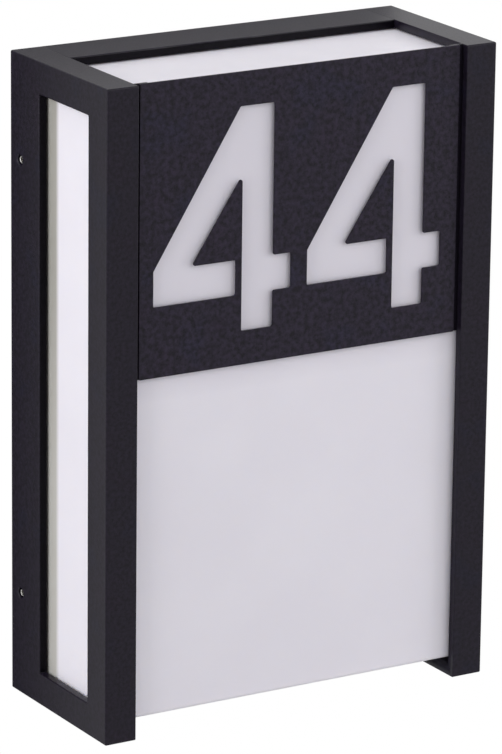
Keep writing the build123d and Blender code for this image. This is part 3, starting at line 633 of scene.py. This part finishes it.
def turned_mesh(name, rings, place, hollow=False):
    """Stacks rings into a closed mesh; a hollow one runs up the outside and back down the inside."""
    steps = len(rings[0][1])
    angle = np.arange(steps) * 2 * math.pi / steps
    corners = [
        (radius * math.cos(turn), radius * math.sin(turn), along)
        for along, radii in rings
        for turn, radius in zip(angle, radii)
    ]
    faces = []
    for row in range(len(rings) if hollow else len(rings) - 1):
        above = (row + 1) % len(rings)
        for step in range(steps):
            after = (step + 1) % steps
            faces.append((
                row * steps + step, row * steps + after, above * steps + after, above * steps + step,
            ))
    mesh = bpy.data.meshes.new(name)
    mesh.from_pydata(corners, [], faces)
    shape = bmesh.new()
    shape.from_mesh(mesh)
    bmesh.ops.remove_doubles(shape, verts=shape.verts, dist=SAME_TURNED_CORNER)
    bmesh.ops.transform(shape, matrix=place, verts=shape.verts)
    bmesh.ops.recalc_face_normals(shape, faces=shape.faces)
    shape.to_mesh(mesh)
    shape.free()
    mesh.shade_smooth()
    mesh.set_sharp_from_angle(angle=TURNED_SHARP_ABOVE)
    return mesh


def along_axis(origin, direction):
    """The matrix that stands a turned piece on a point, pointing in a direction."""
    return Matrix.Translation(origin) @ Vector(direction).to_track_quat("Z", "Y").to_matrix().to_4x4()


print("turning tools ready")

# %% [markdown]
# ## Metal finishes
#
# Five metals meet in this sign: zinc-plated sheet and screws, stainless set screws, brass contacts,
# the nickelled cap of the lamp and tinned copper. A metal has no colour of its own besides its
# reflection, so the finish is in how that reflection breaks up: cloudy patches where the plating
# is duller, and fine scratches in the direction that the piece was rolled or turned.

# %% Metal finishes
SCRATCH_SIZE = 0.22 * MM
SCRATCH_SHADES = (0.8, 1.05)
SCRATCH_SHARE = 0.35
PATCH_ROUGHER, PATCH_SMOOTHER = 0.09, 0.04
PATCH_RISE = 0.008 * MM


def bare_metal(name, colour, roughness, patch_size, scratch_stretch, scratch_depth, tarnish=0.75):
    """Metal with duller patches and fine scratches, longer along the axis with the small stretch."""
    material, tree, shader = start_finish(name)
    patches = grain(tree, patch_size, detail=4.0)
    scratches = grain(tree, SCRATCH_SIZE, detail=2.0, stretch=scratch_stretch)
    clouded = ramp(tree, patches, times(colour, tarnish), colour)
    dark, pale = SCRATCH_SHADES
    streaked = ramp(tree, scratches, times(colour, dark), times(colour, pale))
    tree.links.new(mix_colours(tree, SCRATCH_SHARE, clouded, streaked), shader.inputs["Base Color"])
    shader.inputs["Metallic"].default_value = 1.0
    dullness = spread(tree, patches, roughness + PATCH_ROUGHER, roughness - PATCH_SMOOTHER)
    tree.links.new(dullness, shader.inputs["Roughness"])
    relief(tree, shader, (scratches, scratch_depth), (patches, PATCH_RISE))
    return material


zinc = bare_metal(
    "zinc_plating", (0.60, 0.62, 0.64), 0.33, 4.0 * MM, (0.05, 1.0, 1.0), 0.004 * MM, tarnish=0.82
)
stainless = bare_metal(
    "stainless_steel", (0.56, 0.55, 0.53), 0.30, 1.5 * MM, (0.1, 1.0, 1.0), 0.003 * MM
)
brass = bare_metal(
    "bright_brass", (0.80, 0.58, 0.27), 0.26, 2.5 * MM, (1.0, 1.0, 0.08), 0.004 * MM, tarnish=0.62
)
nickel = bare_metal(
    "nickelled_cap", (0.66, 0.64, 0.60), 0.24, 3.0 * MM, (1.0, 1.0, 0.15), 0.003 * MM
)
tinned = bare_metal(
    "tinned_copper", (0.68, 0.67, 0.65), 0.36, 1.2 * MM, (1.0, 0.3, 1.0), 0.006 * MM
)
print("metals:", zinc.name, stainless.name, brass.name, nickel.name, tinned.name)

# %% [markdown]
# ## Set screws
#
# Four M4 set screws hold the cover on the tray, two in the rear bar of each side, near its top and
# near its bottom. Only their socket end shows. We turn each one with its thread, a cupped tip and a
# hexagonal socket, on the axis of its solid.

# %% Set screws
SCREW_RADIUS, SCREW_ROOT, SCREW_PITCH = 2.0 * MM, 1.62 * MM, 0.7 * MM
SOCKET_FLATS, SOCKET_DEPTH = 2.0 * MM, 2.0 * MM
SOCKET_CHAMFER, SOCKET_CONE = 0.16 * MM, 0.3 * MM
SCREW_STEPS = 48
CUP_PROFILE = ((0.35 * MM, 0.0), (0.0, 1.0 * MM), (0.0, 1.2 * MM))
TIP_CONE, HEAD_CONE = 0.45 * MM, 0.3 * MM


def set_screw_rings(length):
    """Rings of a set screw, from the bottom of its cupped tip to the bottom of its socket."""
    thread_end, socket_end = length - HEAD_CONE, length - SOCKET_DEPTH
    rings = level_rings(CUP_PROFILE, SCREW_STEPS)
    rings += thread_rings(TIP_CONE, thread_end, SCREW_ROOT, SCREW_RADIUS, SCREW_PITCH, SCREW_STEPS)
    head_profile = ((length - 0.05 * MM, 1.5 * MM), (length, 1.42 * MM), (length, 1.3 * MM))
    rings += level_rings(head_profile, SCREW_STEPS)
    rings += [socket_ring(length - SOCKET_CHAMFER, SOCKET_FLATS, SCREW_STEPS)]
    rings += [socket_ring(socket_end, SOCKET_FLATS, SCREW_STEPS)]
    rings += level_rings([(socket_end - SOCKET_CONE, 0.0)], SCREW_STEPS)
    return rings


for side, outwards in (("left", -1.0), ("right", 1.0)):
    for level in ("lower", "upper"):
        solid = f"set_screw_{side}_{level}"
        low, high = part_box(solid)
        middle = (low + high) / 2
        tip = Vector((low.x if outwards > 0 else high.x, middle.y, middle.z))
        place = along_axis(tip, (outwards, 0, 0))
        mesh = turned_mesh(solid + "_threaded", set_screw_rings(high.x - low.x), place)
        add_piece(solid + "_threaded", mesh, solid, "stainless_screw", [stainless], solid)

# %% [markdown]
# ## Moulded and glazed finishes
#
# Plastic, rubber, glass and glaze share one recipe: a body colour that drifts a little, a surface
# texture from the mould, and for pale plastics some depth, so that light softens inside them.

# %% Moulded finishes
MOULD_DRIFT_SIZE, MOULD_DRIFT_RISE = 9 * MM, 0.01 * MM
SPECK_SHARE = 0.4
SPECKS_DARKEN = 1.5  # dark specks, in drifts of the colour
TEXTURE_ROUGHNESS = (0.85, 1.2)  # in shares of the roughness


def moulded(name, colour, roughness, texture_size, texture_depth, gloss=0.5, depth=0.0, drift=0.06):
    """Plastic, rubber, glass or glaze with a texture, and light that enters to a depth in metres."""
    material, tree, shader = start_finish(name)
    texture = grain(tree, texture_size, detail=3.0)
    wide = grain(tree, MOULD_DRIFT_SIZE, detail=2.0)
    body = ramp(tree, wide, times(colour, 1 - drift), times(colour, 1 + drift))
    specks = ramp(tree, texture, times(colour, 1 - SPECKS_DARKEN * drift), times(colour, 1 + drift))
    tree.links.new(mix_colours(tree, SPECK_SHARE, body, specks), shader.inputs["Base Color"])
    smooth, rough = TEXTURE_ROUGHNESS
    dullness = spread(tree, texture, smooth * roughness, rough * roughness)
    tree.links.new(dullness, shader.inputs["Roughness"])
    shader.inputs["Specular IOR Level"].default_value = gloss
    if depth:
        shader.inputs["Subsurface Weight"].default_value = 0.5
        shader.inputs["Subsurface Radius"].default_value = (1.0, 0.9, 0.75)
        shader.inputs["Subsurface Scale"].default_value = depth
    relief(tree, shader, (texture, texture_depth), (wide, MOULD_DRIFT_RISE))
    return material


def sleeve(name, colour, drift=0.12):
    """Soft insulation of a lead."""
    return moulded(name, colour, 0.36, 0.4 * MM, 0.004 * MM, drift=drift)


opal_glass = moulded(
    "opal_globe", (0.84, 0.83, 0.80), 0.22, 1.2 * MM, 0.002 * MM, depth=3.0 * MM, drift=0.02
)
collar_plastic = moulded(
    "white_collar_plastic", (0.78, 0.77, 0.74), 0.42, 0.35 * MM, 0.01 * MM, drift=0.03
)
black_glass = moulded(
    "black_glass", (0.008, 0.007, 0.008), 0.10, 2.0 * MM, 0.006 * MM, drift=0.3
)
porcelain = moulded(
    "glazed_porcelain", (0.78, 0.77, 0.74), 0.12, 2.2 * MM, 0.003 * MM,
    gloss=0.6, depth=0.6 * MM, drift=0.02,
)
rubber = moulded(
    "black_rubber", (0.020, 0.020, 0.021), 0.62, 0.3 * MM, 0.02 * MM, gloss=0.3, drift=0.3
)
nylon = moulded(
    "natural_nylon", (0.70, 0.69, 0.62), 0.40, 0.5 * MM, 0.008 * MM, depth=1.5 * MM, drift=0.05
)
brown_sleeve = sleeve("brown_insulation", (0.105, 0.036, 0.016))
blue_sleeve = sleeve("blue_insulation", (0.020, 0.095, 0.360))
green_sleeve = sleeve("green_insulation", (0.018, 0.200, 0.045))
yellow_sleeve = sleeve("yellow_insulation", (0.780, 0.560, 0.030), drift=0.08)
print("moulded finishes:", opal_glass.name, porcelain.name, rubber.name, nylon.name)
print("insulation:", brown_sleeve.name, blue_sleeve.name, green_sleeve.name, yellow_sleeve.name)

# %% [markdown]
# ## The lamp
#
# The lamp is a small opal globe on a white collar, with a screw cap. Its cap is thin sheet rolled
# into a round thread, 26 millimetres wide, with seven turns to the inch. The thread's wave is a
# cosine, so it has no edges. The profile runs up the outside and back down the inside, so the cap is
# hollow. A black glass ring holds the centre contact under it.

# %% Lamp
CAP_STEPS = 96
CAP_PITCH = 25.4 / 7 * MM
lamp_low, lamp_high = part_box("lamp_cap")
lamp_axis = Vector(((lamp_low.x + lamp_high.x) / 2, (lamp_low.y + lamp_high.y) / 2, lamp_low.z))
CAP_RADIUS = (lamp_high.x - lamp_low.x) / 2
CAP_HEIGHT = lamp_high.z - lamp_low.z
CAP_ROOT = CAP_RADIUS - 1.0 * MM
CAP_INSIDE = CAP_RADIUS - 1.6 * MM
CAP_THREAD_FROM, CAP_THREAD_TO = 1.6 * MM, CAP_HEIGHT - 4.2 * MM
CAP_THREAD_SHAPE = {"rounded": True, "rings_per_turn": 16}

cap_foot = (
    (0.0, 0.0),
    (0.0, CAP_RADIUS - 2.4 * MM),
    (0.35 * MM, CAP_RADIUS - 1.7 * MM),
    (1.0 * MM, CAP_RADIUS - 1.15 * MM),
)
cap_brim = (
    (CAP_HEIGHT - 3.4 * MM, CAP_RADIUS - 0.5 * MM),
    (CAP_HEIGHT - 2.9 * MM, CAP_RADIUS - 0.05 * MM),
    (CAP_HEIGHT, CAP_RADIUS - 0.05 * MM),
)
cap_inside = (
    (CAP_HEIGHT, CAP_INSIDE),
    (1.6 * MM, CAP_INSIDE),
    (0.8 * MM, CAP_RADIUS - 2.6 * MM),
    (0.8 * MM, 0.0),
)
cap_rings = level_rings(cap_foot, CAP_STEPS)
cap_rings += thread_rings(
    CAP_THREAD_FROM, CAP_THREAD_TO, CAP_ROOT, CAP_RADIUS, CAP_PITCH, CAP_STEPS, **CAP_THREAD_SHAPE,
)
cap_rings += level_rings(cap_brim + cap_inside, CAP_STEPS)
cap_mesh = turned_mesh("lamp_cap_threaded", cap_rings, along_axis(lamp_axis, (0, 0, 1)))
add_piece("lamp_cap_threaded", cap_mesh, "lamp", "lamp_cap_metal", [nickel], "lamp_cap")

dress(nickel, "lamp_contact")
dress(black_glass, "lamp_insulator")
dress(collar_plastic, "lamp_collar")
dress(opal_glass, "lamp_globe")

# %% [markdown]
# ## The lampholder
#
# The lampholder is glazed porcelain with a rolled brass shell that takes the lamp's cap. The shell is
# one thin sheet, so its inside and its outside follow the same wave: we stack the outer rings
# upwards, the inner rings downwards, and join the last ring to the first.

# %% Lampholder
shell_low, shell_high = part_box("holder_shell")
SHELL_OUTER = (shell_high.x - shell_low.x) / 2
SHELL_HEIGHT = shell_high.z - shell_low.z
SHELL_WALL = 0.5 * MM
SHELL_WAVE = 0.65 * MM
SHELL_ROOT = SHELL_OUTER - SHELL_WAVE
SHELL_THREAD_FROM, SHELL_THREAD_TO = 0.8 * MM, SHELL_HEIGHT - 1.8 * MM
shell_place = along_axis(Vector((lamp_axis.x, lamp_axis.y, shell_low.z)), (0, 0, 1))

shell_lip = (
    (SHELL_HEIGHT - 0.9 * MM, SHELL_ROOT),
    (SHELL_HEIGHT - 0.1 * MM, SHELL_OUTER - 0.1 * MM),
    (SHELL_HEIGHT, SHELL_OUTER - 0.2 * MM),
)
shell_outside = level_rings([(0.0, SHELL_ROOT)], CAP_STEPS)
shell_outside += thread_rings(
    SHELL_THREAD_FROM, SHELL_THREAD_TO, SHELL_ROOT, SHELL_OUTER, CAP_PITCH, CAP_STEPS,
    **CAP_THREAD_SHAPE,
)
shell_outside += level_rings(shell_lip, CAP_STEPS)
shell_inside = [(along, radii - SHELL_WALL) for along, radii in reversed(shell_outside)]
shell_rings = shell_outside + shell_inside
shell_mesh = turned_mesh("holder_shell_threaded", shell_rings, shell_place, hollow=True)
add_piece("holder_shell_threaded", shell_mesh, "base", "brass_parts", [brass], "holder_shell")

dress(porcelain, "holder_body")
dress(brass, "holder_contact", "holder_ferrules", "terminal_tubes", "earth_screw")

# %% [markdown]
# ## Bracket, clips, terminal block and their screws
#
# These are plain pressed and moulded pieces. The bracket and the clips are zinc-plated sheet, the
# terminal block is natural nylon. Their shapes are right already, so they only need eased edges.

# %% Bracket, clips and terminal block
eased("holder_bracket", "base", "zinc_steel", [zinc], 0.2 * MM)
eased("diffuser_clips", "cover", "zinc_steel", [zinc], 0.12 * MM)
eased("terminal_block", "base", "block_plastic", [nylon], 0.18 * MM)
dress(zinc, "clip_screws", "bracket_screws", "holder_screws", "terminal_screws", "block_screws")
dress(zinc, "earth_washer")
dress(tinned, "earth_lug")

# %% [markdown]
# ## Leads
#
# Three insulated wires run inside the tray: brown for live and blue for neutral, from the lampholder
# to the terminal block, and green with yellow for earth, from the terminal block to the earth screw.
# A wire is never a row of straight runs, so each route is a smooth spline pulled by a few points. We
# sweep rings along the spline ourselves, because then we know which faces lie on which side, and can
# give the earth wire its two yellow stripes.

# %% Leads
LEAD_RADIUS = 1.2 * MM
LEAD_STEPS = 24
STRIPE_EVERY, STRIPE_WIDTH = 12, 5  # in steps round the earth lead, so it has two stripes
SPLINE_ORDER, SPLINE_RESOLUTION = 3, 20
CREASE_ABOVE = math.radians(50)


def spline_points(route):
    """Points along a smooth spline that is pulled by the route's points, given in millimetres."""
    curve = bpy.data.curves.new("lead_route", "CURVE")
    curve.dimensions = "3D"
    curve.resolution_u = SPLINE_RESOLUTION
    spline = curve.splines.new("NURBS")
    spline.points.add(len(route) - 1)
    for point, place in zip(spline.points, route):
        point.co = (place[0] * MM, place[1] * MM, place[2] * MM, 1.0)
    spline.order_u = SPLINE_ORDER
    spline.use_endpoint_u = True
    holder = bpy.data.objects.new("lead_route", curve)
    line = bpy.data.meshes.new_from_object(holder)
    points = [vertex.co.copy() for vertex in line.vertices]
    bpy.data.objects.remove(holder)
    bpy.data.meshes.remove(line)
    bpy.data.curves.remove(curve)
    return points


def lead_mesh(name, points):
    """A round wire along the points, closed with a flat face at each end."""
    across = (points[1] - points[0]).orthogonal().normalized()
    corners, faces = [], []
    for number, point in enumerate(points):
        ahead = (points[min(number + 1, len(points) - 1)] - points[max(number - 1, 0)]).normalized()
        across = (across - across.dot(ahead) * ahead).normalized()
        beside = ahead.cross(across)
        for step in range(LEAD_STEPS):
            turn = 2 * math.pi * step / LEAD_STEPS
            corners.append(point + LEAD_RADIUS * (math.cos(turn) * across + math.sin(turn) * beside))
    for row in range(len(points) - 1):
        for step in range(LEAD_STEPS):
            after = (step + 1) % LEAD_STEPS
            faces.append((
                row * LEAD_STEPS + step, row * LEAD_STEPS + after,
                (row + 1) * LEAD_STEPS + after, (row + 1) * LEAD_STEPS + step,
            ))
    last = (len(points) - 1) * LEAD_STEPS
    faces.append(tuple(reversed(range(LEAD_STEPS))))
    faces.append(tuple(last + step for step in range(LEAD_STEPS)))
    mesh = bpy.data.meshes.new(name)
    mesh.from_pydata(corners, [], faces)
    mesh.shade_smooth()
    mesh.set_sharp_from_angle(angle=CREASE_ABOVE)
    return mesh


LEADS = {  # solid: slot, sleeves, and the route in millimetres
    "lead_live": ("lead_brown", [brown_sleeve], (
        (8, -37.5, -69.7), (8, -37.5, -99.7),
        (16, -9, -99.7), (26, -9, -99.7), (36, -9, -99.7),
    )),
    "lead_neutral": ("lead_blue", [blue_sleeve], (
        (-8, -37.5, -69.7), (-8, -37.5, -109.7),
        (16, -9, -109.7), (26, -9, -109.7), (36, -9, -109.7),
    )),
    "lead_earth": ("lead_green", [green_sleeve, yellow_sleeve], (
        (36, -9, -89.7), (26, -9, -89.7), (20, -9, -89.7),
        (20, -3.9, -61.7), (29, -3.9, -61.7), (37, -3.9, -61.7),
    )),
}
for solid, (slot, sleeves, route) in LEADS.items():
    mesh = lead_mesh(solid + "_wire", spline_points(route))
    add_piece(solid + "_wire", mesh, "base", slot, sleeves, solid)
    if len(sleeves) == 2:
        for face in mesh.polygons[:-2]:
            in_stripe = face.index % LEAD_STEPS % STRIPE_EVERY < STRIPE_WIDTH
            face.material_index = 1 if in_stripe else 0

# %% [markdown]
# ## Rubber seal and grommet
#
# A rubber band round the tray's raised wall closes the gap to the light box. Its outside has three
# ribs, which give way when the box slides on. We draw its section once as a list of distances from
# the wall, and run it round the rectangle. At a corner each point turns on its own small arc.

# %% Seal and grommet
seal_low, seal_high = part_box("diffuser_seal")
SEAL_THICKNESS = 0.9 * MM
SEAL_FOOT = 0.35 * MM
RIBS, RIB_STEPS = 3, 8
CORNER_STEPS = 6
section = [(0.0, seal_low.y)]
for part in np.linspace(0.0, 1.0, RIBS * RIB_STEPS + 1):
    rise = 0.5 - 0.5 * math.cos(2 * math.pi * RIBS * part)
    out = SEAL_FOOT + (SEAL_THICKNESS - SEAL_FOOT) * rise
    section.append((out, seal_low.y + part * (seal_high.y - seal_low.y)))
section.append((0.0, seal_high.y))
seal_corners = (
    (seal_high.x, seal_high.z), (seal_low.x, seal_high.z),
    (seal_low.x, seal_low.z), (seal_high.x, seal_low.z),
)

seal_shape = bmesh.new()
loops = []
for out, depth in section:
    loop = []
    for quarter, (corner_x, corner_z) in enumerate(seal_corners):
        wall_x = corner_x - math.copysign(SEAL_THICKNESS, corner_x)
        wall_z = corner_z - math.copysign(SEAL_THICKNESS, corner_z)
        for step in range(CORNER_STEPS + 1):
            turn = (quarter + step / CORNER_STEPS) * math.pi / 2
            place = (wall_x + out * math.cos(turn), depth, wall_z + out * math.sin(turn))
            loop.append(seal_shape.verts.new(place))
    loops.append(loop)
for this, after in zip(loops, loops[1:] + loops[:1]):
    for start in range(len(this)):
        end = (start + 1) % len(this)
        seal_shape.faces.new((this[start], this[end], after[end], after[start]))
bmesh.ops.remove_doubles(seal_shape, verts=seal_shape.verts, dist=SAME_CORNER)
bmesh.ops.recalc_face_normals(seal_shape, faces=seal_shape.faces)
seal_mesh = bpy.data.meshes.new("seal_ribbed")
seal_shape.to_mesh(seal_mesh)
seal_shape.free()
seal_mesh.shade_smooth()
seal_mesh.set_sharp_from_angle(angle=CREASE_ABOVE)
add_piece("seal_ribbed", seal_mesh, "base", "seal_rubber", [rubber], "diffuser_seal")
dress(rubber, "cable_grommet")
